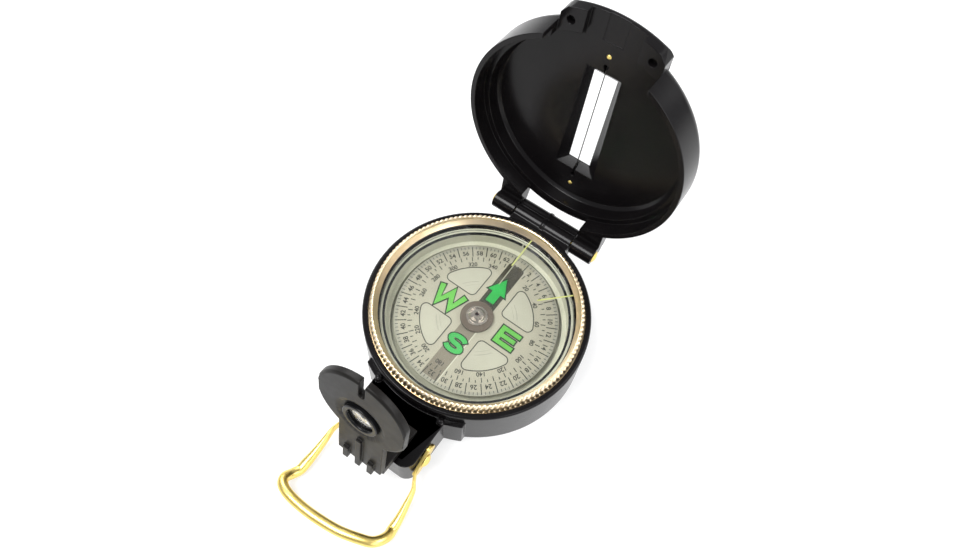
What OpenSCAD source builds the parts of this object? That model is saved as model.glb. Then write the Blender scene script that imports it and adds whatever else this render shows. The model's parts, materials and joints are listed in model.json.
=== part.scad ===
// Sighting compass with a hinged sight lid, a folding lens sight, a turning
// bezel, a floating dial and a wire thumb loop. The origin is on the dial's
// axis at the underside of the case. +Y points to the lid hinge.

/* [Case] */
// Outer radius of the round case
case_r = 28; // [27.5:0.1:28.5]
// Height of the case rim above its underside
case_h = 14.2; // [14:0.1:14.5]
// Thickness of the case floor
floor_t = 1.8; // [1.4:0.1:2]
// Radius of the bore that holds the liquid capsule
capsule_bore_r = 24; // [23.9:0.05:24.1]

/* [Bezel and crystal] */
// Radius over the tips of the bezel teeth
bezel_r = 26.17; // [26:0.01:26.2]
// Height of the top edge of the bezel
bezel_top = 15.9; // [15.7:0.05:15.95]
// Number of teeth on the bezel
bezel_teeth = 128; // [90:2:200]
// Depth of one tooth
tooth_d = 0.46; // [0.2:0.02:0.6]
// Height of the crystal's top face
crystal_top = 13.9; // [13.8:0.05:14]
// Angle of the second luminous line, clockwise from the first
lume_angle = 45; // [15:5:90]

/* [Dial] */
// Radius of the dial card
dial_r = 20.6; // [18:0.1:21]
// Height of the dial card's top face
dial_top = 8.4; // [7.5:0.1:8.8]
// Heading of the dial's north mark, clockwise from the lid hinge
dial_heading = 1; // [-180:1:180]
// Outer radius of the four dial windows
window_r = 14.1; // [12:0.1:15]
// Half the width of the dial's cross arms
arm_half = 4.3; // [3.5:0.1:5]

/* [Lid] */
// Opening angle of the lid as drawn
lid_open = 95.3; // [0:0.1:95.3]
// Distance of the lid hinge axis from the dial's axis
hinge_y = 30.3; // [30.2:0.1:31]
// Height of the lid hinge axis
hinge_z = 12.7; // [12.4:0.1:12.8]
// Outside height of the lid above its rim
lid_h = 10.4; // [10:0.1:12]
// Depth of the lid's inner face above its rim
lid_depth = 8.15; // [7.8:0.05:8.4]
// Half the length of the hinge barrel
barrel_half = 15.2; // [14:0.1:16]

/* [Lens sight] */
// Lean of the raised lens plate from the horizontal as drawn
sight_tilt = 80; // [0:1:90]
// Radius of the round lens plate
plate_r = 11.2; // [10.8:0.1:11.5]
// Thickness of the lens plate
plate_t = 1.8; // [1.4:0.1:2]
// Distance from the rear pin to the centre of the lens plate, along the plate
plate_reach = 28; // [26:0.1:30]
// Gap between the folded plate and the bezel
plate_gap = 0.5; // [0.3:0.1:1]

/* [Thumb loop] */
// Radius of the loop wire
wire_r = 1.25; // [1:0.05:1.3]
// Half the spacing of the two arms at the bend
loop_half = 13; // [12.8:0.1:13.4]
// Distance of the far bar from the dial's axis
loop_reach = 59.7; // [58:0.1:61]

/* [Hidden] */
eps = 0.01;
fine = 128;
// seats inside the case, from the floor up
bowl_r = capsule_bore_r - 0.1;
bowl_wall = 1.2;
bowl_floor = 3.7;
bowl_step_r = bowl_r - 2.4;
bowl_step_z = 7.2;
needle_shoulder = dial_top - 0.2;
seal_z = 10.4;
seal_r = bowl_r - 0.6;
cover_z = 11;
cover_t = 1;
washer_z = 12.3;
washer_t = 0.4;
bezel_bottom = washer_z + washer_t;
groove_z = bezel_bottom - 0.1;
counterbore_r = bezel_r + 0.33;
// crystal and bezel
crystal_r = 24.7;
crystal_t = 1;
crystal_lip_r = 24.2;
bezel_inner_r = 25.2;
bezel_root_r = bezel_r - tooth_d;
bezel_body_r = bezel_root_r - 0.15;
// rear bracket
pin_y = -35.8;
pin_z = 7.2;
pin_r = 1;
cheek_half = 10;
pocket_half = 6.9;
bracket_h = 10.8;
bracket_rear = -41;
bracket_corner = 3;
shoulder_half = 13.9;
shoulder_r = 29.2;
pocket_front = -29.35;
peg_x = 9;
peg_y = -27.45;
// hinge barrels
barrel_r = 2.3;
hinge_pin_r = 0.85;
knuckle_half = 8.6;
case_lobe = [2.3, -0.4];
lid_lobe = [0.2, 2.3];
// lid, measured from its rim up
lid_inner_r = 26.7;
lid_step_r = 25.2;
lid_step = 4;
lid_corner = 3.2;
lid_rim_z = case_h;
block_half = 12.5;
block_r = 30.9;
ear_half = 6.6;
ear_depth = 6.2;
ear_hole_x = 9.8;
ear_hole_y = 56.5;
// sight window, measured forward from the hinge axis
window_near = 14.2;
window_far = 46.4;
window_near_half = 5.4;
window_far_half = 4.4;
slot_near = 16;
slot_far = 44.4;
slot_half = 3;
wire_depth = 9.1;
hair_near = 12.4;
hair_far = 48;
pins_at = [hair_near - 3.3, hair_far + 2.9];
// lens plate, in the folded position: x across, y along, z up from the rear pin
plate_low = bezel_top + plate_gap - pin_z;
plate_top = plate_low + plate_t;
plate_flat = 10.65;
stem_x = 0.4;
stem_half = 5.8;
lens_y = plate_reach - 3.3;
lens_r = 3.6;
lens_seat_r = 4.4;
dish_r = 6.5;

function polar(r, a) = [r * sin(a), r * cos(a)];

module x_rod(r, x0, x1, y, z) {
    translate([x0, y, z])
        rotate([0, 90, 0])
            cylinder(r = r, h = x1 - x0, $fn = 64);
}

module tube(r_out, r_in, h) {
    difference() {
        cylinder(r = r_out, h = h, $fn = fine);
        translate([0, 0, -1])
            cylinder(r = r_in, h = h + 2, $fn = fine);
    }
}

module domed_end(r, h) {
    ball = (r * r + h * h) / (2 * h);
    intersection() {
        translate([0, 0, h - ball])
            sphere(r = ball, $fn = 64);
        cylinder(r = r, h = h, $fn = 64);
    }
}

// hinge barrel with a lobe beside its axis
module hinge_barrel(x0, x1, lobe, grow = 0) {
    r = barrel_r + grow;
    translate([x0, hinge_y, hinge_z])
        rotate([90, 0, 90])
            linear_extrude(x1 - x0) {
                circle(r = r, $fn = 64);
                translate(lobe)
                    circle(r = r - 0.15, $fn = 64);
                rotate(atan2(lobe[1], lobe[0]))
                    translate([0, 0.3 - r])
                        square([norm(lobe), 2 * (r - 0.3)]);
            }
}

// ---- case ----

module rounded_bracket_plan() {
    translate([-cheek_half, bracket_rear + bracket_corner])
        square([2 * cheek_half, -24 - bracket_rear - bracket_corner]);
    translate([-cheek_half + bracket_corner, bracket_rear])
        square([2 * (cheek_half - bracket_corner), 6]);
    for (side = [-1, 1])
        translate([side * (cheek_half - bracket_corner), bracket_rear + bracket_corner])
            circle(r = bracket_corner, $fn = 48);
}

module case_shoulder() {
    intersection() {
        cylinder(r = shoulder_r, h = bracket_h, $fn = fine);
        translate([-shoulder_half, -28.4, 0])
            cube([2 * shoulder_half, 10, bracket_h]);
    }
}

module hinge_web() {
    translate([-knuckle_half, 0, 0])
        rotate([90, 0, 90])
            linear_extrude(2 * knuckle_half)
                polygon([[25.5, 5.5], [27.8, 5.5], [hinge_y + 1.7, hinge_z - 1.5],
                    [hinge_y - 0.6, case_h - 0.15], [25.5, case_h - 0.15]]);
}

module base_case() {
    color("#1d1c1f")
    difference() {
        union() {
            cylinder(r = case_r, h = case_h - 0.5, $fn = fine);
            translate([0, 0, case_h - 0.5])
                cylinder(r1 = case_r, r2 = case_r - 0.4, h = 0.5, $fn = fine);
            linear_extrude(bracket_h)
                rounded_bracket_plan();
            case_shoulder();
            hinge_web();
            hinge_barrel(-knuckle_half, knuckle_half, case_lobe);
            hinge_barrel(-0.45, 0.45, case_lobe, 0.25);
            for (side = [-1, 1])
                translate([side * peg_x, peg_y, bracket_h - eps])
                    case_peg();
        }
        translate([0, 0, floor_t])
            cylinder(r = capsule_bore_r, h = case_h, $fn = fine);
        translate([0, 0, washer_z])
            cylinder(r = counterbore_r, h = case_h, $fn = fine);
        translate([0, 0, groove_z])
            cylinder(r = bezel_r + 0.78, h = 0.7, $fn = fine);
        bracket_pocket();
        x_rod(hinge_pin_r + 0.02, -knuckle_half - 1, knuckle_half + 1, hinge_y, hinge_z);
        x_rod(pin_r + 0.02, -cheek_half - 1, cheek_half + 1, pin_y, pin_z);
    }
}

module case_peg() {
    cylinder(r = 0.8, h = 1, $fn = 32);
    translate([0, 0, 1])
        domed_end(0.8, 0.4);
}

module bracket_pocket() {
    translate([-pocket_half, bracket_rear + 1.7, 2.6])
        cube([2 * pocket_half, pocket_front - bracket_rear - 1.7, bracket_h]);
}

module lid_hinge_pin() {
    color("#c9a24a") {
        x_rod(hinge_pin_r, -barrel_half - 0.1, barrel_half + 0.1, hinge_y, hinge_z);
        for (side = [-1, 1])
            translate([side * (barrel_half + 0.1), hinge_y, hinge_z])
                rotate([0, side * 90, 0])
                    domed_end(1.7, 0.6);
    }
}

module rear_pin() {
    color("#d8b24c") {
        x_rod(pin_r, -cheek_half - 1.05, cheek_half + 1.05, pin_y, pin_z);
        for (side = [-1, 1])
            translate([side * (cheek_half + 1.05), pin_y, pin_z])
                rotate([0, side * 90, 0])
                    domed_end(1.8, 0.85);
    }
}

// ---- capsule ----

module capsule_bowl() {
    color("#dcdccb") {
        difference() {
            translate([0, 0, floor_t])
                cylinder(r = bowl_r, h = cover_z - floor_t, $fn = fine);
            translate([0, 0, floor_t + bowl_floor])
                cylinder(r = bowl_step_r, h = 20, $fn = fine);
            translate([0, 0, bowl_step_z])
                cylinder(r = bowl_r - bowl_wall, h = 20, $fn = fine);
            translate([0, 0, seal_z])
                cylinder(r = seal_r, h = 20, $fn = fine);
            translate([0, 0, floor_t + 0.5])
                cylinder(r = 1.2, h = bowl_floor, $fn = 48);
        }
        for (r = [8, 11, 14])
            translate([0, 0, floor_t + bowl_floor - eps])
                tube(r + 0.35, r - 0.35, 0.3);
    }
}

module capsule_seal() {
    color("#16181a")
    difference() {
        translate([0, 0, seal_z])
            tube(seal_r, bowl_r - bowl_wall, cover_z - seal_z);
        // split of the ring, beside the lid hinge
        rotate([0, 0, 4])
            translate([-0.2, 20, seal_z - 1])
                cube([0.4, 6, 3]);
    }
}

module capsule_cover() {
    color("#eef3ee", 0.3)
    translate([0, 0, cover_z])
        cylinder(r = bowl_r, h = cover_t, $fn = fine);
}

module pivot_post() {
    color("#c9a24a")
    translate([0, 0, floor_t + 0.5])
        tube(1.2, 0.35, bowl_floor + 0.1);
}

module pivot_needle() {
    color("#b9bcc0") {
        translate([0, 0, floor_t + 0.5])
            cylinder(r = 0.35, h = needle_shoulder - floor_t - 0.5, $fn = 32);
        translate([0, 0, needle_shoulder])
            cylinder(r1 = 0.35, r2 = 0.05, h = 1.1, $fn = 32);
    }
}

// ---- bezel ----

module bezel_washer() {
    color("#2a2a2c")
    translate([0, 0, washer_z])
        tube(bezel_r - 0.2, capsule_bore_r + 0.5, washer_t);
}

module toothed_plan() {
    points = [for (i = [0 : bezel_teeth - 1], k = [0, 1])
        polar(k == 1 ? bezel_r : bezel_root_r, (i + k / 2) * 360 / bezel_teeth)];
    difference() {
        polygon(points);
        circle(r = bezel_inner_r + 0.1, $fn = fine);
    }
}

module bezel_ring() {
    color("#e3cf9c") {
        rotate_extrude($fn = fine)
            polygon([[crystal_r + 0.05, bezel_bottom], [bezel_r + 0.03, bezel_bottom],
                [bezel_r + 0.03, groove_z + 0.2], [bezel_r + 0.58, groove_z + 0.2],
                [bezel_r + 0.58, groove_z + 0.5], [bezel_r + 0.03, groove_z + 0.5],
                [bezel_r + 0.03, groove_z + 0.9], [bezel_body_r, groove_z + 0.9],
                [bezel_body_r, bezel_top - 0.1], [bezel_body_r - 0.1, bezel_top],
                [bezel_inner_r, bezel_top], [crystal_lip_r, crystal_top],
                [crystal_r + 0.05, crystal_top]]);
        translate([0, 0, groove_z + 0.8])
            linear_extrude(bezel_top - 0.3 - groove_z - 0.8)
                toothed_plan();
    }
}

module crystal() {
    color("#f2f6f2", 0.25)
    translate([0, 0, crystal_top - crystal_t])
        cylinder(r = crystal_r, h = crystal_t, $fn = fine);
}

module luminous_lines() {
    color("#dfe86a")
    for (a = [0, lume_angle])
        rotate([0, 0, -a])
            translate([-0.17, 14.9, crystal_top])
                cube([0.34, 9.2, 0.1]);
}

// ---- dial ----

module dial_turn() {
    rotate([0, 0, -dial_heading])
        children();
}

module dial_window_plan() {
    corner = 1.2;
    side = arm_half + corner;
    reach = sqrt(pow(window_r - corner, 2) - side * side);
    hull() {
        translate([side, side])
            circle(r = corner, $fn = 32);
        for (a = [0 : 0.1 : 1])
            rotate(atan2(side, reach) + a * (90 - 2 * atan2(side, reach)))
                translate([window_r - corner, 0])
                    circle(r = corner, $fn = 32);
    }
}

module dial_card() {
    color("#e8e9d6")
    dial_turn()
    difference() {
        translate([0, 0, dial_top - 0.4])
            cylinder(r = dial_r, h = 0.4, $fn = fine);
        translate([0, 0, dial_top - 1])
            cylinder(r = 1.5, h = 2, $fn = 48);
        for (quarter = [0 : 3])
            rotate([0, 0, quarter * 90])
                translate([0, 0, dial_top - 1])
                    linear_extrude(2)
                        dial_window_plan();
    }
}

module magnet_bar() {
    color("#3c3d3b")
    dial_turn()
    translate([0, 0, dial_top - 1.6])
    difference() {
        translate([-2.3, -19, 0])
            cube([4.6, 36.8, 1.2]);
        translate([0, 0, -1])
            cylinder(r = 1.5, h = 4, $fn = 48);
    }
}

module dial_hub() {
    color("#8c8b86", 0.7)
    difference() {
        union() {
            translate([0, 0, dial_top])
                cylinder(r = 4.2, h = 0.8, $fn = 64);
            translate([0, 0, dial_top - 1.6])
                cylinder(r = 1.5, h = 3.1, $fn = 48);
        }
        translate([0, 0, dial_top - 2])
            cylinder(r = 0.9, h = 6, $fn = 48);
    }
}

module pivot_cap() {
    color("#a9a39a")
    translate([0, 0, dial_top + 0.8])
    difference() {
        union() {
            cylinder(r = 2.7, h = 0.35, $fn = 64);
            cylinder(r1 = 2.4, r2 = 1.7, h = 0.9, $fn = 64);
            cylinder(r = 1.35, h = 1.3, $fn = 64);
        }
        translate([0, 0, -1])
            cylinder(r = 1.5, h = 1.7, $fn = 48);
        translate([0, 0, -1])
            cylinder(r = 0.5, h = 4, $fn = 32);
    }
}

module jewel_bearing() {
    color("#b04a5a")
    translate([0, 0, dial_top])
    difference() {
        cylinder(r = 0.9, h = 1.4, $fn = 48);
        translate([0, 0, -eps])
            cylinder(r1 = 0.65, r2 = 0.12, h = 1, $fn = 32);
    }
}

// ---- lid ----

// turns the closed lid back about its hinge axis
module lid_pose() {
    translate([0, hinge_y, hinge_z])
        rotate([-lid_open, 0, 0])
            translate([0, -hinge_y, -hinge_z])
                children();
}

module lid_profile(r, corner) {
    difference() {
        square([r, lid_h]);
        translate([r - corner, lid_h - corner])
            square(corner + 1);
    }
    translate([r - corner, lid_h - corner])
        circle(r = corner, $fn = 64);
}

module lid_solid(r, corner) {
    rotate_extrude($fn = fine)
        intersection() {
            lid_profile(r, corner);
            square([40, 40]);
        }
}

module lid_cavity() {
    rotate_extrude($fn = fine)
        polygon([[0, -1], [lid_inner_r, -1], [lid_inner_r, lid_step],
            [lid_step_r, lid_step], [lid_step_r, lid_depth - 0.8],
            [lid_step_r - 0.8, lid_depth], [0, lid_depth]]);
}

module lid_front_block() {
    intersection() {
        lid_solid(block_r, 1.6);
        translate([0, 0, ear_depth])
            linear_extrude(10)
                polygon([[-block_half, -18], [-block_half, -26.9], [1.4 - block_half, -28.85],
                    [1.4 - block_half, -40], [block_half - 1.4, -40],
                    [block_half - 1.4, -28.85], [block_half, -26.9], [block_half, -18]]);
    }
}

module lid_arm() {
    // from the lid wall to the hinge barrel
    rotate([90, 0, 90])
        linear_extrude(barrel_half - knuckle_half - 0.2)
            polygon([[22.5, case_h + 0.3], [hinge_y - 1.4, case_h + 0.3],
                [hinge_y + 0.4, hinge_z - 0.5], [hinge_y + 2.2, hinge_z + 0.6],
                [hinge_y - 0.2, case_h + 4], [22.5, case_h + 5.6]]);
}

module window_cut() {
    hull() {
        translate([0, 0, lid_depth - 0.02])
            linear_extrude(0.02)
                polygon([[-window_near_half, -window_near], [window_near_half, -window_near],
                    [window_far_half, -window_far], [-window_far_half, -window_far]]);
        translate([0, 0, lid_h - 0.4])
            linear_extrude(0.02)
                polygon([[-slot_half, -slot_near], [slot_half, -slot_near],
                    [slot_half, -slot_far], [-slot_half, -slot_far]]);
    }
    translate([-slot_half, -slot_far, lid_h - 1])
        cube([2 * slot_half, slot_far - slot_near, 3]);
}

module hair_groove() {
    // narrow slots that lead the sighting wire into its anchor holes
    for (y = [[hair_near, slot_near + 1], [slot_far - 1, hair_far]])
        translate([-0.25, -y[1], lid_depth - 1])
            cube([0.5, y[1] - y[0], 1 + wire_depth - lid_depth + 0.25]);
    for (y = [hair_near, hair_far])
        translate([0, -y, lid_depth - 1])
            cylinder(r = 0.6, h = 2.4, $fn = 32);
}

module lid_shell() {
    color("#232226")
    lid_pose()
    difference() {
        union() {
            translate([0, 0, lid_rim_z]) {
                lid_solid(case_r, lid_corner);
                lid_front_block();
            }
            for (side = [-1, 1])
                translate([side > 0 ? knuckle_half + 0.2 : -barrel_half, 0, 0])
                    lid_arm();
            hinge_barrel(knuckle_half + 0.2, barrel_half, lid_lobe);
            hinge_barrel(-barrel_half, -knuckle_half - 0.2, lid_lobe);
        }
        translate([0, 0, lid_rim_z])
            lid_cavity();
        // room for the case's knuckle
        translate([-knuckle_half - 0.2, 20, lid_rim_z - 1])
            cube([2 * knuckle_half + 0.4, 20, lid_step + 1]);
        // the wall is open above the rear bracket
        translate([-block_half, -40, lid_rim_z - 1])
            cube([2 * block_half, 26, ear_depth + 1]);
        translate([-ear_half, -40, lid_rim_z - 1])
            cube([2 * ear_half, 26, lid_depth + 1]);
        // shallow recess at the far end of the wire
        translate([-2.4, -36, lid_rim_z])
            cube([4.8, 12, lid_depth + 0.25]);
        translate([0, hinge_y, lid_rim_z])
            window_cut();
        translate([0, hinge_y, lid_rim_z])
            hair_groove();
        for (side = [-1, 1])
            translate([side * ear_hole_x, hinge_y - ear_hole_y, lid_rim_z])
                cylinder(r = 1, h = ear_depth + 1.8, $fn = 32);
        for (y = pins_at)
            translate([0, hinge_y - y, lid_rim_z])
                cylinder(r = 0.5, h = lid_depth + 1.4, $fn = 32);
        x_rod(hinge_pin_r + 0.06, -barrel_half - 1, barrel_half + 1, hinge_y, hinge_z);
    }
}

module sighting_wire() {
    color("#3a3a3a")
    lid_pose()
    translate([0, hinge_y - hair_near, lid_rim_z + wire_depth])
        rotate([90, 0, 0])
            cylinder(r = 0.13, h = hair_far - hair_near, $fn = 16);
}

module wire_pins() {
    color("#d8b24c")
    lid_pose()
    for (y = pins_at)
        translate([0, hinge_y - y, lid_rim_z + lid_depth + 1.4]) {
            mirror([0, 0, 1])
                cylinder(r = 0.5, h = 1.4, $fn = 32);
            translate([0, 0, -1.4])
                mirror([0, 0, 1])
                    domed_end(0.6, 0.3);
        }
}

// ---- lens sight ----

// the sight is drawn folded flat, about the rear pin, and raised from there
module sight_pose() {
    translate([0, pin_y, pin_z])
        rotate([sight_tilt, 0, 0])
            children();
}

module lens_plate() {
    intersection() {
        union() {
            translate([0, plate_reach, plate_low])
                cylinder(r = plate_r, h = plate_t - 0.4, $fn = fine);
            translate([0, plate_reach, plate_top - 0.4])
                cylinder(r1 = plate_r, r2 = plate_r - 0.5, h = 0.4, $fn = fine);
        }
        translate([-plate_flat, 0, 0])
            cube([2 * plate_flat, 60, 20]);
    }
    translate([stem_x - stem_half, 5.6, plate_low])
        cube([2 * stem_half, plate_reach - 11, plate_t]);
    for (rib = [[-3.3, 4.6], [0, 12], [3.3, 4.6]])
        translate([stem_x + rib[0] - 0.7, 4.6, plate_top - 0.3])
            cube([1.4, rib[1], 1.1]);
}

module lens_bracket() {
    color("#4b4845")
    sight_pose()
    difference() {
        union() {
            lens_plate();
            // leg down to the rear pin
            translate([stem_x - stem_half, 3.5, -0.5])
                cube([2 * stem_half, 2.6, plate_low + 1]);
            translate([stem_x - stem_half, 0, -2.6])
                cube([2 * stem_half, 5.2, 5.2]);
            x_rod(2.6, stem_x - stem_half, stem_x + stem_half, 0, 0);
        }
        x_rod(pin_r + 0.06, -20, 20, 0, 0);
        // sighting notch
        translate([-0.75, plate_reach + plate_r - 4.2, 0])
            cube([1.5, 10, 20]);
        translate([0, plate_reach + plate_r - 4.2, 0])
            cylinder(r = 0.75, h = 20, $fn = 32);
        // lens seat and dish
        translate([0, lens_y, plate_low - 1])
            cylinder(r = lens_r - 0.5, h = 10, $fn = 64);
        translate([0, lens_y, plate_low + 0.5])
            cylinder(r = lens_seat_r, h = 10, $fn = 64);
        translate([0, lens_y, plate_top - 0.7])
            cylinder(r1 = lens_seat_r, r2 = dish_r, h = 0.71, $fn = 64);
    }
}

module magnifying_lens() {
    // a plano-convex glass
    color("#dfe9ee", 0.4)
    sight_pose()
    translate([0, lens_y, plate_low + 0.5]) {
        cylinder(r = lens_r, h = 0.5, $fn = 64);
        translate([0, 0, 0.5])
            domed_end(lens_r, 0.6);
    }
}

module lens_ring() {
    color("#1b1b1d")
    sight_pose()
    translate([0, lens_y, plate_low + 0.5]) {
        tube(lens_seat_r, lens_r, 0.8);
        translate([0, 0, 0.8])
            tube(lens_seat_r, lens_r - 0.35, 0.8);
    }
}

// ---- thumb loop ----

// route of the wire from left to right: point, half thickness, half width
whole_route = [
    [[-10.55, -37.6, 5.9], 0.4, 1.6],
    [[-10.6, -39.2, 5.2], 0.4, 1.5],
    [[-11.3, -40.9, 4.7], 0.45, 1.25],
    [[-11.7, -42.4, 4.1], 0.6, 1.2],
    [[-11.8, -45.2, 3.1], 0.85, 1.15],
    [[1 - loop_half, -48.6, 2.1], 1.05, 1.15],
    [[0.8 - loop_half, 8.5 - loop_reach, 1.65], wire_r, wire_r],
    [[0.6 - loop_half, 6.4 - loop_reach, 1.35], wire_r, wire_r],
    [[-0.1 - loop_half, 4.6 - loop_reach, 1.9], wire_r, wire_r],
    [[-0.55 - loop_half, 3.2 - loop_reach, 2.9], wire_r, wire_r],
    [[-0.1 - loop_half, 1.9 - loop_reach, 3.7], wire_r, wire_r],
    [[1.4 - loop_half, 0.9 - loop_reach, 4.3], wire_r, wire_r],
    [[4.2 - loop_half, 0.25 - loop_reach, 4.7], wire_r, wire_r],
    [[-4.5, -loop_reach, 4.8], wire_r, wire_r],
    [[0, 0.2 - loop_reach, 4.8], wire_r, wire_r],
    [[4.7, 0.8 - loop_reach, 4.8], wire_r, wire_r],
    [[loop_half - 3.8, 2.1 - loop_reach, 4.7], wire_r, wire_r],
    [[loop_half - 1.4, 3.1 - loop_reach, 4.3], wire_r, wire_r],
    [[loop_half - 0.1, 4.6 - loop_reach, 3.5], wire_r, wire_r],
    [[loop_half + 0.5, 6.5 - loop_reach, 2.2], wire_r, wire_r],
    [[loop_half + 0.3, 8.2 - loop_reach, 1.35], wire_r, wire_r],
    [[loop_half + 0.2, -48.9, 1.9], 1.05, 1.15],
    [[12.8, -45.6, 2.9], 0.85, 1.15],
    [[12.3, -42.4, 4], 0.6, 1.2],
    [[11.4, -40.8, 4.7], 0.45, 1.25],
    [[10.6, -39.2, 5.2], 0.4, 1.5],
    [[10.55, -37.6, 5.9], 0.4, 1.6]];
last = len(whole_route) - 1;
function knot(i) = whole_route[max(0, min(last, i))];
function spline(a, b, c, d, t) =
    0.5 * (2 * b + (c - a) * t + (2 * a - 5 * b + 4 * c - d) * t * t
        + (3 * b - a - 3 * c + d) * t * t * t);
function route_at(s) = let (i = min(last - 1, floor(s)), t = s - i)
    [for (k = [0, 1, 2]) spline(knot(i - 1)[k], knot(i)[k], knot(i + 1)[k], knot(i + 2)[k], t)];
function unit(v) = v / norm(v);
ring_sides = 16;
ring_step = 0.25;
function ring(s) = let (
        here = route_at(s),
        along = unit(route_at(min(last, s + 0.05))[0] - route_at(max(0, s - 0.05))[0]),
        across = unit(cross(along, [0, 0, 1])),
        up = cross(across, along))
    [for (k = [0 : ring_sides - 1]) let (a = 360 * k / ring_sides)
        here[0] + across * here[1] * cos(a) + up * here[2] * sin(a)];

module loop_wire() {
    rings = [for (s = [0 : ring_step : last]) ring(s)];
    count = len(rings);
    points = [for (r = rings, p = r) p];
    sides = [for (i = [0 : count - 2], k = [0 : ring_sides - 1])
        let (a = i * ring_sides + k, b = i * ring_sides + (k + 1) % ring_sides)
            [a, b, b + ring_sides, a + ring_sides]];
    split = [for (f = sides, h = [[f[0], f[1], f[2]], [f[0], f[2], f[3]]]) h];
    first_cap = [for (k = [ring_sides - 1 : -1 : 0]) k];
    last_cap = [for (k = [0 : ring_sides - 1]) (count - 1) * ring_sides + k];
    polyhedron(points, concat(split, [first_cap, last_cap]), convexity = 6);
}

module loop_eye_plan() {
    translate([-3, -1.65])
        square([5.6, 3.3]);
    for (x = [-3, 2.6])
        translate([x, 0])
            circle(r = 1.65, $fn = 32);
}

module loop_eye() {
    // flat end of the wire, bored for the rear pin
    rotate([90, 0, 90])
        difference() {
            linear_extrude(0.8)
                translate([pin_y, pin_z])
                    rotate(36)
                        loop_eye_plan();
            translate([pin_y, pin_z, -1])
                cylinder(r = pin_r + 0.06, h = 3, $fn = 48);
        }
}

module thumb_loop() {
    color("#d9b544") {
        loop_wire();
        translate([cheek_half + 0.15, 0, 0])
            loop_eye();
        translate([-cheek_half - 0.95, 0, 0])
            loop_eye();
    }
}

base_case();
lid_hinge_pin();
rear_pin();
capsule_bowl();
capsule_seal();
capsule_cover();
pivot_post();
pivot_needle();
bezel_washer();
bezel_ring();
crystal();
luminous_lines();
dial_card();
magnet_bar();
dial_hub();
pivot_cap();
jewel_bearing();
lid_shell();
sighting_wire();
wire_pins();
lens_bracket();
magnifying_lens();
lens_ring();
thumb_loop();
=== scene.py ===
"""The looks of the sighting compass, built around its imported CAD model."""
import json
import math

import bmesh
import bpy
from mathutils import Matrix, Vector
from mathutils.geometry import tessellate_polygon


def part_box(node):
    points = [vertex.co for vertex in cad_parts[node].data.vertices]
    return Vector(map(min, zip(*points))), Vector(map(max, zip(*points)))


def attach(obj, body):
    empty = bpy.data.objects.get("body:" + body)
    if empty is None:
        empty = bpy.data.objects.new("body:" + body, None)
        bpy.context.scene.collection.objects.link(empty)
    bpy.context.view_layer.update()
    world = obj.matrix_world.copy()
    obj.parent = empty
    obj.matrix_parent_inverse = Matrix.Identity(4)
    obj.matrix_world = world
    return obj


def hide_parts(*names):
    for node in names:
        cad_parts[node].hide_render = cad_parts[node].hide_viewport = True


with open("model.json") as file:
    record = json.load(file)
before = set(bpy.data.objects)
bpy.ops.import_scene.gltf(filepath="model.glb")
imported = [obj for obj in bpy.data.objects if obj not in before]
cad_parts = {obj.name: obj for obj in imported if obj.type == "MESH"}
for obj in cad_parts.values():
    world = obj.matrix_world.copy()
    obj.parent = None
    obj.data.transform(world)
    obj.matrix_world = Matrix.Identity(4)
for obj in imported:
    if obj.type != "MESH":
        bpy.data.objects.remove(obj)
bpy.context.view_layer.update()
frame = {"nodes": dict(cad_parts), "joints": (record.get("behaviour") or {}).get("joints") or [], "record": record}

MM = 0.001
NODES = frame["nodes"]
SLOTS = {row["node"]: row["material_slot"] for row in frame["record"]["subparts"]}
JOINTS = {joint["name"]: joint for joint in frame["joints"]}


def mm_box(node):
    """A CAD node's lowest and highest corners, in millimetres."""
    low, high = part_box(node)
    return low / MM, high / MM


# ---- measures, in millimetres, taken from the frame ----

BEZEL_TOP = mm_box("bezel_ring")[1].z
BEZEL_BOTTOM = mm_box("bezel_ring")[0].z
BEZEL_FLANGE_R = mm_box("bezel_ring")[1].x
BEZEL_R = BEZEL_FLANGE_R - 0.58  # the toothed wall stands this far inside the flange
CRYSTAL_R = mm_box("crystal")[1].x
CRYSTAL_TOP = mm_box("crystal")[1].z
COVER_TOP = mm_box("capsule_cover")[1].z
DIAL_R = mm_box("dial_card")[1].x
DIAL_TOP = mm_box("dial_card")[1].z
REAR_PIN = Vector(JOINTS["loop_hinge"]["pos_m"]) / MM

# ---- camera, lights and floor ----

CAMERA_AT = Vector((40.5, -71.4, 183.2))
CAMERA_AZIMUTH = math.radians(28.38)
CAMERA_ELEVATION = math.radians(61.55)
CAMERA_ROLL = math.radians(7.24)
CAMERA_LENS = 28.36
SENSOR_WIDTH = 36

# name, place, target, size (all in metres) and power in watts
LIGHTS = [
    ("key", (-0.13, -0.20, 0.54), (0, 0, 0.02), (0.30, 0.26), 3.5),
    ("right", (0.42, 0.20, 0.36), (0, 0, 0.02), (0.36, 0.30), 1.8),
    ("left", (-0.42, 0.24, 0.38), (0, 0, 0.02), (0.32, 0.32), 2.0),
    ("side", (0.52, -0.20, 0.26), (0, 0, 0.02), (0.30, 0.30), 0.8),
    ("back", (0.12, 0.60, 0.22), (0, 0, 0.03), (0.60, 0.16), 0.2),
]
SKY_COLOUR = (0.95, 0.97, 1.0)
SKY_STRENGTH = 0.47
FLOOR_HALF = 12.0
FLOOR_Z = -0.0001
FLOOR_GREY = 0.40
FLOOR_GLOW = 0.62


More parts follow.
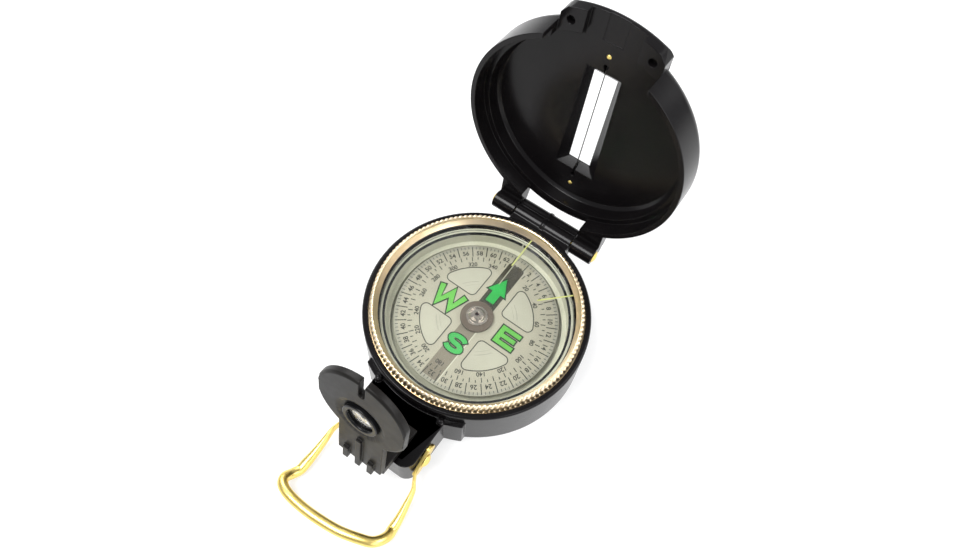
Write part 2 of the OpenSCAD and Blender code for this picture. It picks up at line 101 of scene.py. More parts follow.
def make_camera():
    data = bpy.data.cameras.new("camera")
    data.lens = CAMERA_LENS
    data.sensor_width = SENSOR_WIDTH
    data.clip_start = 0.01
    data.clip_end = 10
    camera = bpy.data.objects.new("camera", data)
    bpy.context.scene.collection.objects.link(camera)
    a, e = CAMERA_AZIMUTH, CAMERA_ELEVATION
    back = Vector((math.sin(a) * math.cos(e), -math.cos(a) * math.cos(e),
                   math.sin(e)))
    right = Vector((math.cos(a), math.sin(a), 0))
    up = back.cross(right)
    c, s = math.cos(CAMERA_ROLL), math.sin(CAMERA_ROLL)
    rows = Matrix((right * c + up * s, up * c - right * s, back)).transposed()
    camera.matrix_world = Matrix.Translation(CAMERA_AT * MM) @ rows.to_4x4()
    bpy.context.scene.camera = camera


def area_light(name, place, target, size, power):
    """A rectangular soft box that faces target; places and sizes in metres."""
    data = bpy.data.lights.new(name, "AREA")
    data.shape = "RECTANGLE"
    data.size, data.size_y = size
    data.energy = power
    light = bpy.data.objects.new(name, data)
    bpy.context.scene.collection.objects.link(light)
    place = Vector(place)
    light.location = place
    light.rotation_euler = (place - Vector(target)).to_track_quat("Z", "Y").to_euler()


def make_world():
    world = bpy.data.worlds.new("studio")
    bpy.context.scene.world = world
    world.use_nodes = True
    background = world.node_tree.nodes["Background"]
    background.inputs["Color"].default_value = (*SKY_COLOUR, 1)
    background.inputs["Strength"].default_value = SKY_STRENGTH


def make_floor():
    mesh = bpy.data.meshes.new("floor")
    corners = [(x * FLOOR_HALF, y * FLOOR_HALF, FLOOR_Z)
               for x, y in ((-1, -1), (1, -1), (1, 1), (-1, 1))]
    mesh.from_pydata(corners, [], [(0, 1, 2, 3)])
    floor = bpy.data.objects.new("floor", mesh)
    bpy.context.scene.collection.objects.link(floor)
    material, _, shader = new_material("floor_white")
    shader.inputs["Base Color"].default_value = grey_or_colour(FLOOR_GREY)
    shader.inputs["Roughness"].default_value = 0.6
    shader.inputs["Emission Color"].default_value = (1, 1, 1, 1)
    shader.inputs["Emission Strength"].default_value = FLOOR_GLOW
    mesh.materials.append(material)


# ---- materials ----

RAMP_START, RAMP_END = 0.35, 0.65
CLEAR_ROUGH = 0.01
CLEAR_HAZE = 0.02


def new_material(name):
    material = bpy.data.materials.new(name)
    material.use_nodes = True
    tree = material.node_tree
    return material, tree, tree.nodes["Principled BSDF"]


def noise(tree, size, detail):
    """A noise pattern in the object's own frame, its features about size mm across."""
    coordinates = tree.nodes.new("ShaderNodeTexCoord")
    texture = tree.nodes.new("ShaderNodeTexNoise")
    texture.inputs["Scale"].default_value = 1 / (size * MM)
    texture.inputs["Detail"].default_value = detail
    tree.links.new(coordinates.outputs["Object"], texture.inputs["Vector"])
    return texture.outputs["Fac"]


def ramp(tree, factor, low, high):
    """A blend from the colour or grey low to high over the middle of a noise factor."""
    node = tree.nodes.new("ShaderNodeValToRGB")
    first, second = node.color_ramp.elements
    first.position, second.position = RAMP_START, RAMP_END
    first.color = grey_or_colour(low)
    second.color = grey_or_colour(high)
    tree.links.new(factor, node.inputs["Fac"])
    return node.outputs["Color"]


def grey_or_colour(value):
    if isinstance(value, (int, float)):
        value = (value, value, value)
    return (*value, 1)


def bump(tree, shader, height, depth):
    """Bump from a height pattern, depth in millimetres."""
    node = tree.nodes.new("ShaderNodeBump")
    node.inputs["Distance"].default_value = depth * MM
    tree.links.new(height, node.inputs["Height"])
    tree.links.new(node.outputs["Normal"], shader.inputs["Normal"])


def plastic(name, dark, light, rough_low, rough_high, grain=0.12,
            grain_depth=0.004, specular=0.3):
    """Moulded plastic: a slightly cloudy colour, uneven gloss and a fine grain."""
    material, tree, shader = new_material(name)
    shader.inputs["Specular IOR Level"].default_value = specular
    cloud = noise(tree, 6, 4)
    tree.links.new(ramp(tree, cloud, dark, light), shader.inputs["Base Color"])
    patches = noise(tree, 2.2, 5)
    gloss = ramp(tree, patches, rough_low, rough_high)
    tree.links.new(gloss, shader.inputs["Roughness"])
    bump(tree, shader, noise(tree, grain, 2), grain_depth)
    return material


def metal(name, dark, light, rough_low, rough_high, scratch_depth=0.002):
    """Bare or plated metal with slight stains, uneven polish and fine scratches."""
    material, tree, shader = new_material(name)
    shader.inputs["Metallic"].default_value = 1
    stains = noise(tree, 3.5, 5)
    tree.links.new(ramp(tree, stains, dark, light), shader.inputs["Base Color"])
    polish = noise(tree, 0.8, 4)
    gloss = ramp(tree, polish, rough_low, rough_high)
    tree.links.new(gloss, shader.inputs["Roughness"])
    bump(tree, shader, noise(tree, 0.15, 3), scratch_depth)
    return material


def clear(name, tint, ior):
    """Clear glass or acrylic that lets the lamps' light straight through."""
    material, tree, shader = new_material(name)
    shader.inputs["Base Color"].default_value = (*tint, 1)
    shader.inputs["Transmission Weight"].default_value = 1
    shader.inputs["IOR"].default_value = ior
    haze = noise(tree, 5, 3)
    gloss = ramp(tree, haze, CLEAR_ROUGH, CLEAR_ROUGH + CLEAR_HAZE)
    tree.links.new(gloss, shader.inputs["Roughness"])
    through = tree.nodes.new("ShaderNodeBsdfTransparent")
    through.inputs["Color"].default_value = (*tint, 1)
    path = tree.nodes.new("ShaderNodeLightPath")
    either = tree.nodes.new("ShaderNodeMath")
    either.operation = "MAXIMUM"
    tree.links.new(path.outputs["Is Shadow Ray"], either.inputs[0])
    tree.links.new(path.outputs["Is Diffuse Ray"], either.inputs[1])
    mix = tree.nodes.new("ShaderNodeMixShader")
    tree.links.new(either.outputs[0], mix.inputs["Fac"])
    tree.links.new(shader.outputs["BSDF"], mix.inputs[1])
    tree.links.new(through.outputs["BSDF"], mix.inputs[2])
    output = tree.nodes["Material Output"]
    tree.links.new(mix.outputs["Shader"], output.inputs["Surface"])
    return material


def make_materials():
    made = {
        "black_plastic": plastic("black_plastic", (0.0042, 0.0036, 0.0040),
                                 (0.0052, 0.0045, 0.0049), 0.19, 0.22, 0.3, 0.0008, 0.18),
        "sight_plastic": plastic("sight_plastic", (0.0072, 0.0063, 0.0056),
                                 (0.0085, 0.0076, 0.0068), 0.36, 0.42, 0.2, 0.001, 0.16),
        "brass": metal("brass", (0.84, 0.63, 0.18), (0.90, 0.70, 0.23), 0.29, 0.35,
                       scratch_depth=0.0004),
        "bezel_gold": metal("bezel_gold", (0.82, 0.66, 0.43), (0.88, 0.73, 0.51),
                            0.29, 0.34, scratch_depth=0.0003),
        "crystal_clear": clear("crystal_clear", (0.985, 0.988, 0.975), 1.42),
        "capsule_plastic": plastic("capsule_plastic", (0.52, 0.515, 0.42),
                                   (0.56, 0.555, 0.46), 0.15, 0.25, 0.4),
        "capsule_clear": clear("capsule_clear", (0.985, 0.988, 0.975), 1.15),
        "seal_rubber": plastic("seal_rubber", (0.010, 0.011, 0.012), (0.014, 0.015, 0.017),
                               0.2, 0.3),
        "washer_fibre": plastic("washer_fibre", (0.03, 0.03, 0.03), (0.05, 0.05, 0.05),
                                0.6, 0.8),
        "post_brass": metal("post_brass", (0.70, 0.50, 0.16), (0.80, 0.60, 0.24),
                            0.2, 0.35),
        "needle_steel": metal("needle_steel", (0.55, 0.56, 0.58), (0.66, 0.67, 0.69),
                              0.12, 0.2),
        "dial_ivory": plastic("dial_ivory", (0.328, 0.314, 0.256), (0.350, 0.336, 0.273),
                              0.4, 0.5, 0.3, 0.0015),
        "magnet_steel": metal("magnet_steel", (0.07, 0.065, 0.06), (0.13, 0.12, 0.11),
                              0.3, 0.45),
        "hub_plastic": plastic("hub_plastic", (0.095, 0.075, 0.060), (0.125, 0.102, 0.084),
                               0.12, 0.2, 0.4, 0.002, 0.5),
        "cap_metal": metal("cap_metal", (0.46, 0.41, 0.37), (0.58, 0.53, 0.48), 0.16, 0.22,
                           scratch_depth=0.00008),
        "jewel_stone": clear("jewel_stone", (0.75, 0.25, 0.32), 1.76),
        "luminous_paint": plastic("luminous_paint", (0.40, 0.43, 0.14), (0.48, 0.51, 0.19),
                                  0.4, 0.6, 0.1),
        "sight_wire": metal("sight_wire", (0.05, 0.05, 0.05), (0.12, 0.12, 0.12),
                            0.3, 0.45),
        "lens_glass": clear("lens_glass", (0.90, 0.89, 0.87), 1.52),
        "ring_plastic": plastic("ring_plastic", (0.0045, 0.0045, 0.0048),
                                (0.006, 0.006, 0.0065), 0.2, 0.26, 0.2, 0.001, 0.2),
    }
    prints = {
        "ink": ((0.022, 0.022, 0.017), (0.034, 0.034, 0.028)),
        "ink_dark": ((0.003, 0.016, 0.005), (0.006, 0.022, 0.008)),
        # painted shade: a flat grey for the shade of the dial's bevelled rim and of the capsule bowl's ridges
        # under the window panes
        "painted_shade_grey": ((0.27, 0.265, 0.225), (0.31, 0.305, 0.26)),
        "green_arrow": ((0.005, 0.26, 0.035), (0.008, 0.31, 0.048)),
        "green_letter": ((0.085, 0.34, 0.050), (0.115, 0.39, 0.068)),
        "green_south": ((0.028, 0.29, 0.060), (0.042, 0.34, 0.076)),
        "north_ink": ((0.014, 0.013, 0.009), (0.040, 0.036, 0.024)),
        "south_ink": ((0.160, 0.143, 0.112), (0.185, 0.166, 0.131)),
        "dial_pale": ((0.48, 0.47, 0.39), (0.52, 0.51, 0.43)),
        "pane": ((0.352, 0.346, 0.288), (0.378, 0.371, 0.310)),
        "index_ink": ((0.24, 0.24, 0.18), (0.29, 0.29, 0.22)),
    }
    for name, (dark, light) in prints.items():
        made[name] = plastic(name, dark, light, 0.45, 0.58, 0.2, 0.001)
    return made


MATERIALS = {}


# ---- making pieces ----

BEVEL_ANGLE = 35
WELD_GAP = 0.0005
FLAT_ANGLE = 0.5


def piece_from(name, body, slot, vertices, faces, smooth=True, material=None):
    """A mesh piece, its points given in millimetres, riding on a body."""
    mesh = bpy.data.meshes.new(name)
    mesh.from_pydata([Vector(v) * MM for v in vertices], [], faces)
    mesh.validate()
    mesh.polygons.foreach_set("use_smooth", [smooth] * len(mesh.polygons))
    mesh.materials.append(material or MATERIALS[slot])
    piece = bpy.data.objects.new(name, mesh)
    bpy.context.scene.collection.objects.link(piece)
    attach(piece, body)
    return piece


def rounded(piece, width):
    """Rounds a piece's edges; width in millimetres."""
    bevel = piece.modifiers.new("bevel", "BEVEL")
    bevel.width = width * MM
    bevel.segments = 2
    bevel.limit_method = "ANGLE"
    bevel.angle_limit = math.radians(BEVEL_ANGLE)
    bevel.use_clamp_overlap = False
    bevel.harden_normals = True
    normals = piece.modifiers.new("normals", "WEIGHTED_NORMAL")
    normals.keep_sharp = False
    return piece


def finish_node(name, edge):
    """Gives a CAD node its material and, with edge, edges rounded by that many mm.

    On base_case the dissolve and the bevel together leave stray faces across the rear
    bracket's slot, at z = 10.8 mm. They are an open fault.
    """
    node = NODES[name]
    for place in node.material_slots:
        place.material = MATERIALS[SLOTS[name]]
    if edge:
        weld = node.modifiers.new("weld", "WELD")
        weld.merge_threshold = WELD_GAP * MM
        flat = node.modifiers.new("flat", "DECIMATE")
        flat.decimate_type = "DISSOLVE"
        flat.angle_limit = math.radians(FLAT_ANGLE)
        rounded(node, edge)


def strips(quads, z, thickness):
    """Points and faces of thin printed shapes: each outline becomes a flat prism."""
    vertices, faces = [], []
    for outline in quads:
        start, count = len(vertices), len(outline)
        for height in (z, z + thickness):
            vertices += [(x, y, height) for x, y in outline]
        top = [start + count + i for i in range(count)]
        points = [Vector((x, y, 0)) for x, y in outline]
        for a, b, c in tessellate_polygon([points]):
            faces.append((top[a], top[b], top[c]))
        for i in range(count):
            j = (i + 1) % count
            faces.append((start + i, start + j, start + count + j, start + count + i))
    return vertices, faces


def smooth_cycle(count):
    """Unit directions once round a circle."""
    return [(math.cos(2 * math.pi * i / count), math.sin(2 * math.pi * i / count))
            for i in range(count)]


def grown(outline, d):
    """A closed outline pushed outwards by d; the outline runs counterclockwise."""
    count, out = len(outline), []
    for i in range(count):
        a, b, c = (Vector(outline[j % count]) for j in (i - 1, i, i + 1))
        first, second = (b - a).normalized(), (c - b).normalized()
        n1, n2 = Vector((first.y, -first.x)), Vector((second.y, -second.x))
        mitre = (n1 + n2) / max(0.4, 1 + n1.dot(n2))
        out.append(tuple(b + mitre * d))
    return out


def stroke(path, half):
    """The counterclockwise outline of a pen stroke along a path."""
    right, left = [], []
    for i, point in enumerate(path):
        here = Vector(point)
        before = (here - Vector(path[i - 1])).normalized() if i else None
        after = (Vector(path[i + 1]) - here).normalized() if i < len(path) - 1 else None
        before, after = before or after, after or before
        n1, n2 = Vector((before.y, -before.x)), Vector((after.y, -after.x))
        mitre = (n1 + n2) / max(0.35, 1 + n1.dot(n2)) * half
        right.append(tuple(here + mitre))
        left.append(tuple(here - mitre))
    return right + left[::-1]


def closed_ribbons(pairs, z, thickness):
    """Flat rings between pairs of matching closed outlines."""
    vertices, faces = [], []
    for inner, outer in pairs:
        count, start = len(inner), len(vertices)
        for outline, height in ((inner, z), (outer, z), (outer, z + thickness),
                                (inner, z + thickness)):
            vertices += [(x, y, height) for x, y in outline]
        for i in range(count):
            j = (i + 1) % count
            for k in range(4):
                n = (k + 1) % 4
                faces.append((start + k * count + i, start + k * count + j,
                              start + n * count + j, start + n * count + i))
    return vertices, faces


def turned(points, angle):
    """Points turned about the dial's axis, angle in degrees clockwise."""
    a = math.radians(-angle)
    return [(x * math.cos(a) - y * math.sin(a), x * math.sin(a) + y * math.cos(a))
            for x, y in points]


# ---- the dial's print ----

DIAL_HEADING = 1.0
INK = 0.03
THIN_INK = 0.01
PRINT_GAP = 0.002  # keeps print clear of the surface that it lies on
TICK_OUT = DIAL_R - 0.25
# radii of a grey ring painted on the dial's edge as the shade of its bevelled rim
RIM_SHADE_BAND = (19.68, 20.52)


def dial_piece(name, slot, outlines, lift=0.0, material=None, thickness=INK):
    outlines = [turned(outline, DIAL_HEADING) for outline in outlines]
    vertices, faces = strips(outlines, DIAL_TOP + PRINT_GAP + lift, thickness)
    return piece_from(name, "dial", slot, vertices, faces, smooth=False, material=material)


def bar(r_in, r_out, angle, half):
    """A radial bar at an angle clockwise from north."""
    return turned([(-half, r_in), (half, r_in), (half, r_out), (-half, r_out)], angle)


def make_ticks():
    """Degree ticks inside, mil ticks in two lengths outside, and a grey ring of painted shade at the dial's edge.
    """
    marks = []
    for i in range(72):
        angle = 5 * i
        if min(angle, 360 - angle) > 8:
            start = 16.05 if i % 2 == 0 else 16.55
            marks.append(bar(start, 17.25, angle, 0.11))
    for i in range(32):
        angle = 11.25 * i + 5.625
        marks.append(bar(17.5, TICK_OUT, angle, 0.12))
    for i in range(128):
        if i % 4 != 2:
            marks.append(bar(19.6, TICK_OUT, 2.8125 * i, 0.07))
    dial_piece("dial_ticks", "magnet_steel", marks, 0.012, MATERIALS["ink"])
    # painted shade: a flat grey ring round the dial's edge stands in for the shade of its bevelled rim
    rim = [[(r * c, r * s) for c, s in smooth_cycle(180)] for r in RIM_SHADE_BAND]
    vertices, faces = closed_ribbons([rim], DIAL_TOP + PRINT_GAP, THIN_INK)
    piece_from("dial_rim_shade", "dial", "magnet_steel", vertices, faces, smooth=False,
               material=MATERIALS["painted_shade_grey"])


CAPITAL_SHARE = 0.73  # a capital's height as a share of the font's size
FIGURE_WEIGHT = 0.035  # how far each figure's outline is thickened


def lettering(text, height):
    """Vertices and faces of a short text, centred, its capitals height mm tall."""
    curve = bpy.data.curves.new("text", "FONT")
    curve.body = text
    curve.align_x = "CENTER"
    curve.size = height / CAPITAL_SHARE
    curve.extrude = INK / 2
    curve.offset = FIGURE_WEIGHT
    curve.resolution_u = 3
    holder = bpy.data.objects.new("text", curve)
    bpy.context.scene.collection.objects.link(holder)
    graph = bpy.context.evaluated_depsgraph_get()
    mesh = bpy.data.meshes.new_from_object(holder.evaluated_get(graph))
    vertices = [(v.co.x, v.co.y - height / 2, v.co.z) for v in mesh.vertices]
    faces = [tuple(face.vertices) for face in mesh.polygons]
    bpy.data.objects.remove(holder)
    bpy.data.meshes.remove(mesh)
    return vertices, faces


def make_figures():
    """Degrees every 20 on the inner circle, hundreds of mils on the outer one."""
    vertices, faces = [], []
    numbers = [(20 * i, 15.15, str(20 * i), 1.15) for i in range(1, 18)]
    numbers += [(11.25 * i, 18.45, str(2 * i), 1.25) for i in range(1, 32)]
    for angle, r, text, height in numbers:
        start = len(vertices)
        points, shapes = lettering(text, height)
        places = turned([(x, y + r) for x, y, _ in points], angle + DIAL_HEADING)
        vertices += [(x, y, DIAL_TOP + INK + point[2])
                     for (x, y), point in zip(places, points)]
        faces += [tuple(start + i for i in shape) for shape in shapes]
    piece_from("dial_figures", "dial", "magnet_steel", vertices, faces, smooth=False,
               material=MATERIALS["ink"])


WINDOW_R = 14.1
ARM_HALF = 4.3
WINDOW_CORNER = 1.2


def window_outline(d):
    """The outline of a dial window in the first quarter, grown by d."""
    side = ARM_HALF + WINDOW_CORNER
    ring = WINDOW_R - WINDOW_CORNER
    a1 = math.atan2(side, math.sqrt(ring * ring - side * side))
    r = WINDOW_CORNER + d
    points = []

    def arc(centre, radius, start, end, count):
        for i in range(count + 1):
            a = start + (end - start) * i / count
            points.append((centre[0] + radius * math.cos(a),
                           centre[1] + radius * math.sin(a)))

    arc((side, side), r, math.pi, 1.5 * math.pi, 8)
    arc((ring * math.cos(a1), side), r, -math.pi / 2, a1, 10)
    arc((0, 0), WINDOW_R + d, a1 + 0.01, math.pi / 2 - a1 - 0.01, 24)
    arc((side, ring * math.cos(a1)), r, math.pi / 2 - a1, math.pi, 10)
    return points


def make_window_lines():
    rings = [[turned(window_outline(d), 90 * quarter + DIAL_HEADING)
              for d in (0.02, 0.27)] for quarter in range(4)]
    vertices, faces = closed_ribbons(rings, DIAL_TOP + PRINT_GAP, INK)
    piece_from("window_lines", "dial", "magnet_steel", vertices, faces, smooth=False,
               material=MATERIALS["ink"])


def make_window_panes():
    """Pale panes that fill the dial's windows, with two faint arcs of painted shade on each, standing in for the
    capsule bowl's ridges beneath.
    """
    panes = [turned(window_outline(0.015), 90 * quarter) for quarter in range(4)]
    outlines = [turned(pane, DIAL_HEADING) for pane in panes]
    vertices, faces = strips(outlines, DIAL_TOP - 0.3, 0.28)
    piece_from("window_panes", "dial", "dial_ivory", vertices, faces, smooth=False,
               material=MATERIALS["pane"])
    # painted shade: two faint grey arcs on each pane stand in for the shading of the capsule bowl's ridges that
    # the pane hides
    ridge_shade_arcs = []
    for quarter in range(4):
        for r, half in ((9.2, 0.05), (10.1, 0.1)):
            angles = [90 * quarter + 33 + 2 * i for i in range(13)]
            arc = [turned([(0, r + half)], angle)[0] for angle in angles]
            arc += [turned([(0, r - half)], angle)[0] for angle in angles[::-1]]
            ridge_shade_arcs.append(arc[::-1])
    dial_piece("window_ridge_shades", "dial_ivory", ridge_shade_arcs, -0.02, MATERIALS["painted_shade_grey"], THIN_INK)


def letter_s():
    """An S drawn by a pen along two stacked arcs."""
    path = []
    for centre, start, end in (((0, -7.82), 15, 270), ((0, -9.82), 90, -165)):
        for i in range(13):
            a = math.radians(start + (end - start) * i / 12)
            if i or centre[1] > -9:
                path.append((2.0 * math.cos(a), centre[1] + math.sin(a)))
    return stroke(path, 0.6)


GREENS = {"north_arrow": "green_arrow", "letter_s": "green_south"}


def make_letters():
    shapes = {
        "letter_w": stroke([(-12.3, 2.6), (-10.75, -2.2), (-8.85, 1.9), (-6.95, -2.2),
                            (-5.35, 2.6)], 0.68),
        "letter_e": [(6.6, -2.65), (12.1, -2.65), (12.1, -1.5), (7.8, -1.5), (7.8, -0.65),
                     (11.6, -0.65), (11.6, 0.45), (7.8, 0.45), (7.8, 1.3), (12.1, 1.3),
                     (12.1, 2.4), (6.6, 2.4)],
        "letter_s": letter_s(),
        "north_arrow": [(-1.18, 5.35), (1.18, 5.35), (1.18, 8.5), (2.5, 8.5), (0, 13.2),
                        (-2.5, 8.5), (-1.18, 8.5)],
    }
    for name, outline in shapes.items():
        # a wider edge would make the S's outline cross itself
        margin = 0.3 if name == "letter_s" else 0.36
        dial_piece(name + "_edge", "magnet_steel", [grown(outline, margin)], 0.04,
                   MATERIALS["ink_dark"])
        green = MATERIALS[GREENS.get(name, "green_letter")]
        dial_piece(name, "luminous_paint", [outline], 0.08, green)


def make_marks():
    """The north and south bars on the dial, and the index line on the cover."""
    jag = [(2.3, 17.5), (1.75, 18.15), (1.5, 17.8), (1.0, 18.3), (0.55, 18.0), (0.2, 18.35),
           (-0.3, 17.9), (-0.7, 18.25), (-1.2, 17.85), (-1.8, 18.1), (-2.3, 17.6)]
    dial_piece("north_mark", "magnet_steel", [[(-2.3, 3.6), (2.3, 3.6)] + jag], 0.0,
               MATERIALS["north_ink"], THIN_INK)
    south = [(-2.2, -19.5), (2.2, -19.5), (2.2, -3.6), (-2.2, -3.6)]
    dial_piece("south_mark", "magnet_steel", [south], 0.0, MATERIALS["south_ink"],
               THIN_INK)
    edge = [(2.2, -19.45), (2.42, -19.45), (2.42, -3.6), (2.2, -3.6)]
    dial_piece("south_mark_edge", "magnet_steel", [edge], 0.0, MATERIALS["dial_pale"],
               THIN_INK)
    vertices, faces = strips([[(-0.13, 9.4), (0.13, 9.4), (0.13, 21.5), (-0.13, 21.5)]],
                             COVER_TOP + PRINT_GAP, 0.04)
    piece_from("cover_index_line", "base", "luminous_paint", vertices, faces, smooth=False,
               material=MATERIALS["index_ink"])


# ---- bezel ----

TEETH = 128
TOOTH_STEPS = 10
TOOTH_DEPTH = 0.32
VALLEY_DROP = 0.14
CREASE_ANGLE = 36


def make_bezel():
    """The toothed ring: one profile carried round, pressed in and down at each valley."""
    groove = BEZEL_BOTTOM - 0.1
    inner = CRYSTAL_R + 0.05
    # radius, height, and how far a valley goes in and down at each ring of points
    profile = [(inner, BEZEL_BOTTOM, 0, 0), (BEZEL_R + 0.02, BEZEL_BOTTOM, 0, 0),
               (BEZEL_R + 0.02, groove + 0.2, 0, 0), (BEZEL_FLANGE_R, groove + 0.2, 0, 0),
               (BEZEL_FLANGE_R, groove + 0.5, 0, 0), (BEZEL_R + 0.02, groove + 0.5, 0, 0),
               (BEZEL_R + 0.02, groove + 0.85, 0, 0), (BEZEL_R, groove + 0.95, 1, 0),
               (BEZEL_R, BEZEL_TOP - 0.85, 1, 0), (BEZEL_R - 0.04, BEZEL_TOP - 0.6, 1, 0),
               (BEZEL_R - 0.14, BEZEL_TOP - 0.36, 0.95, 0.1),
               (BEZEL_R - 0.3, BEZEL_TOP - 0.16, 0.8, 0.5),
               (BEZEL_R - 0.5, BEZEL_TOP - 0.04, 0.45, 1),
               (BEZEL_R - 0.68, BEZEL_TOP, 0.1, 0.8),
               (BEZEL_R - 0.84, BEZEL_TOP - 0.01, 0, 0.35),
               (BEZEL_R - 0.98, BEZEL_TOP - 0.12, 0, 0),
               (BEZEL_R - 1.02, CRYSTAL_TOP + 1.12, 0, 0),
               (BEZEL_R - 1.08, CRYSTAL_TOP + 0.96, 0, 0),
               (CRYSTAL_R - 0.42, CRYSTAL_TOP + 0.12, 0, 0),
               (CRYSTAL_R - 0.5, CRYSTAL_TOP, 0, 0),
               (inner, CRYSTAL_TOP, 0, 0)]
    columns = TEETH * TOOTH_STEPS
    rows = len(profile)
    vertices, faces = [], []
    for i in range(columns):
        a = 2 * math.pi * i / columns
        valley = 1 - abs(math.cos(math.pi * i / TOOTH_STEPS))
        for r, z, inwards, down in profile:
            r -= TOOTH_DEPTH * valley * inwards
            z -= VALLEY_DROP * valley * down
            vertices.append((r * math.sin(a), r * math.cos(a), z))
    for i in range(columns):
        j = (i + 1) % columns
        for k in range(rows):
            n = (k + 1) % rows
            faces.append((i * rows + k, i * rows + n, j * rows + n, j * rows + k))
    ring = piece_from("bezel_knurled", "bezel", "bezel_gold", vertices, faces)
    bm = bmesh.new()
    bm.from_mesh(ring.data)
    bmesh.ops.recalc_face_normals(bm, faces=bm.faces)
    bm.to_mesh(ring.data)
    bm.free()
    crease = ring.modifiers.new("sharp", "EDGE_SPLIT")
    crease.split_angle = math.radians(CREASE_ANGLE)
    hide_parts("bezel_ring")


# ---- thumb loop ----

WIRE_R = 1.25
ROUTE_STEPS = 10
WIRE_SIDES = 32
# stations along the wire: centre, half width and half height
LOOP_ROUTE = [
    ((-10.55, -37.6, 5.9), 0.4, 1.6), ((-10.6, -39.2, 5.2), 0.4, 1.5),
    ((-11.3, -40.9, 4.7), 0.45, 1.25), ((-11.7, -42.4, 4.1), 0.6, 1.2),
    ((-11.8, -45.2, 3.1), 0.85, 1.15), ((-12, -48.6, 2.1), 1.05, 1.15),
    ((-12.2, -51.2, 1.65), WIRE_R, WIRE_R), ((-12.4, -53.3, 1.35), WIRE_R, WIRE_R),
    ((-13.1, -55.1, 1.9), WIRE_R, WIRE_R), ((-13.55, -56.5, 2.9), WIRE_R, WIRE_R),
    ((-13.1, -57.8, 3.7), WIRE_R, WIRE_R), ((-11.6, -58.8, 4.3), WIRE_R, WIRE_R),
    ((-8.8, -59.45, 4.7), WIRE_R, WIRE_R), ((-4.5, -59.7, 4.8), WIRE_R, WIRE_R),
    ((0, -59.5, 4.8), WIRE_R, WIRE_R), ((4.7, -58.9, 4.8), WIRE_R, WIRE_R),
    ((9.2, -57.6, 4.7), WIRE_R, WIRE_R), ((11.6, -56.6, 4.3), WIRE_R, WIRE_R),
    ((12.9, -55.1, 3.5), WIRE_R, WIRE_R), ((13.5, -53.2, 2.2), WIRE_R, WIRE_R),
    ((13.3, -51.5, 1.35), WIRE_R, WIRE_R), ((13.2, -48.9, 1.9), 1.05, 1.15),
    ((12.8, -45.6, 2.9), 0.85, 1.15), ((12.3, -42.4, 4), 0.6, 1.2),
    ((11.4, -40.8, 4.7), 0.45, 1.25), ((10.6, -39.2, 5.2), 0.4, 1.5),
    ((10.55, -37.6, 5.9), 0.4, 1.6)]


def spline(values, i, t):
    """Catmull-Rom value between stations i and i + 1."""
    last = len(values) - 1
    a, b, c, d = (values[max(0, min(last, j))] for j in (i - 1, i, i + 1, i + 2))
    return 0.5 * (2 * b + (c - a) * t + (2 * a - 5 * b + 4 * c - d) * t * t
                  + (3 * b - a - 3 * c + d) * t * t * t)


def make_loop():
    """The bent wire, swept along its stations, and its two eyes."""
    places = [Vector(station[0]) for station in LOOP_ROUTE]
    widths = [Vector(station[1:]) for station in LOOP_ROUTE]
    centres, sizes = [], []
    for i in range(len(places) - 1):
        for k in range(ROUTE_STEPS):
            centres.append(spline(places, i, k / ROUTE_STEPS))
            sizes.append(spline(widths, i, k / ROUTE_STEPS))
    centres.append(places[-1])
    sizes.append(widths[-1])
    vertices, faces = [], []
    count, sides = len(centres), WIRE_SIDES
    for i in range(count):
        along = (centres[min(count - 1, i + 1)] - centres[max(0, i - 1)]).normalized()
        across = along.cross(Vector((0, 0, 1))).normalized()
        up = across.cross(along)
        for k in range(sides):
            a = 2 * math.pi * k / sides
            point = centres[i] + across * (sizes[i].x * math.cos(a)) + up * (
                sizes[i].y * math.sin(a))
            vertices.append(tuple(point))
    for i in range(count - 1):
        for k in range(sides):
            n = (k + 1) % sides
            faces.append((i * sides + k, i * sides + n, (i + 1) * sides + n,
                          (i + 1) * sides + k))
    faces.append(tuple(range(sides))[::-1])
    faces.append(tuple((count - 1) * sides + k for k in range(sides)))
    wire = piece_from("thumb_loop_wire", "loop", "brass", vertices, faces)
    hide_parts("thumb_loop")
    for side, name in ((1, "loop_eye_right"), (-1, "loop_eye_left")):
        make_loop_eye(name, side)


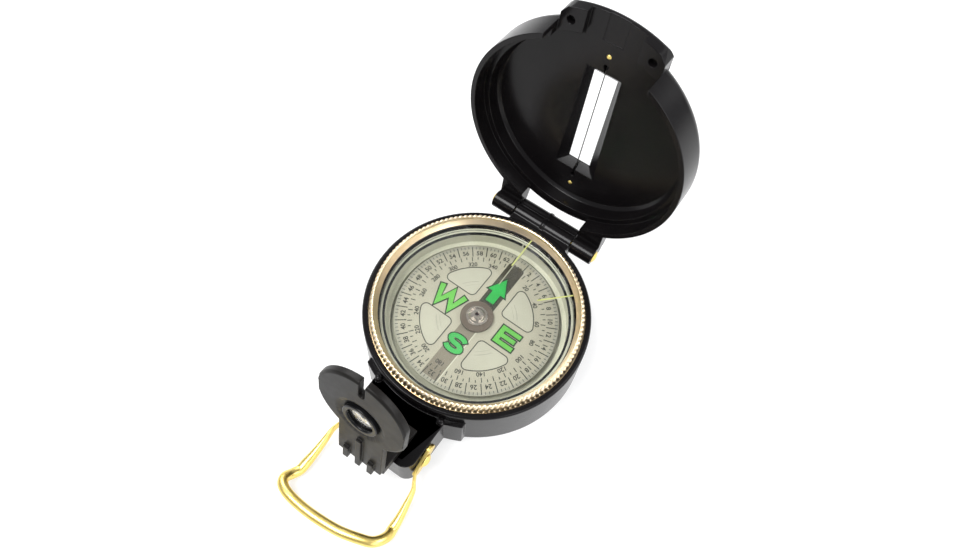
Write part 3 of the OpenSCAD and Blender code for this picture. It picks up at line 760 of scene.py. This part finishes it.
EYE_HOLE_R = 1.06
EYE_HALF = 1.65
EYE_SLOPE = math.radians(36)
EYE_THICKNESS = 0.8
EYE_ROUNDING = 0.12


def make_loop_eye(name, side):
    """The flat end of the wire: a plate bored for the rear pin."""
    count = 64
    inner, outer = [], []
    for i in range(count):
        a = 2 * math.pi * i / count
        c, s = math.cos(a), math.sin(a)
        inner.append((EYE_HOLE_R * c, EYE_HOLE_R * s))
        shift = 2.6 if c > 0 else -3.0
        outer.append((shift * min(1, abs(c) * 3) + EYE_HALF * c, EYE_HALF * s))
    x_low = 10.15 if side > 0 else -10.95
    vertices, faces = [], []
    for x in (x_low, x_low + EYE_THICKNESS):
        for outline in (inner, outer):
            for u, v in outline:
                y = REAR_PIN.y + u * math.cos(EYE_SLOPE) - v * math.sin(EYE_SLOPE)
                z = REAR_PIN.z + u * math.sin(EYE_SLOPE) + v * math.cos(EYE_SLOPE)
                vertices.append((x, y, z))
    for i in range(count):
        j = (i + 1) % count
        faces.append((i, j, count + j, count + i))
        faces.append((2 * count + i, 3 * count + i, 3 * count + j, 2 * count + j))
        faces.append((count + i, count + j, 3 * count + j, 3 * count + i))
        faces.append((i, 2 * count + i, 2 * count + j, j))
    eye = piece_from(name, "loop", "brass", vertices, faces)
    rounded(eye, EYE_ROUNDING)


make_camera()
make_world()
make_floor()
for light in LIGHTS:
    area_light(*light)
MATERIALS.update(make_materials())
# how far each node's edges are rounded, in millimetres; the rest stay sharp
EDGES = {"base_case": 0.2, "lid_shell": 0.14, "lens_bracket": 0.18, "lens_ring": 0.3,
         "lid_hinge_pin": 0.08, "rear_pin": 0.1, "crystal": 0.06, "luminous_lines": 0.03,
         "pivot_cap": 0.06, "dial_hub": 0.08, "capsule_seal": 0.12, "capsule_bowl": 0.15,
         "capsule_cover": 0.08}
for node_name in NODES:
    finish_node(node_name, EDGES.get(node_name, 0))
make_ticks()
make_figures()
make_window_lines()
make_window_panes()
make_letters()
make_marks()
make_bezel()
make_loop()

bpy.context.scene.view_settings.view_transform = "Standard"
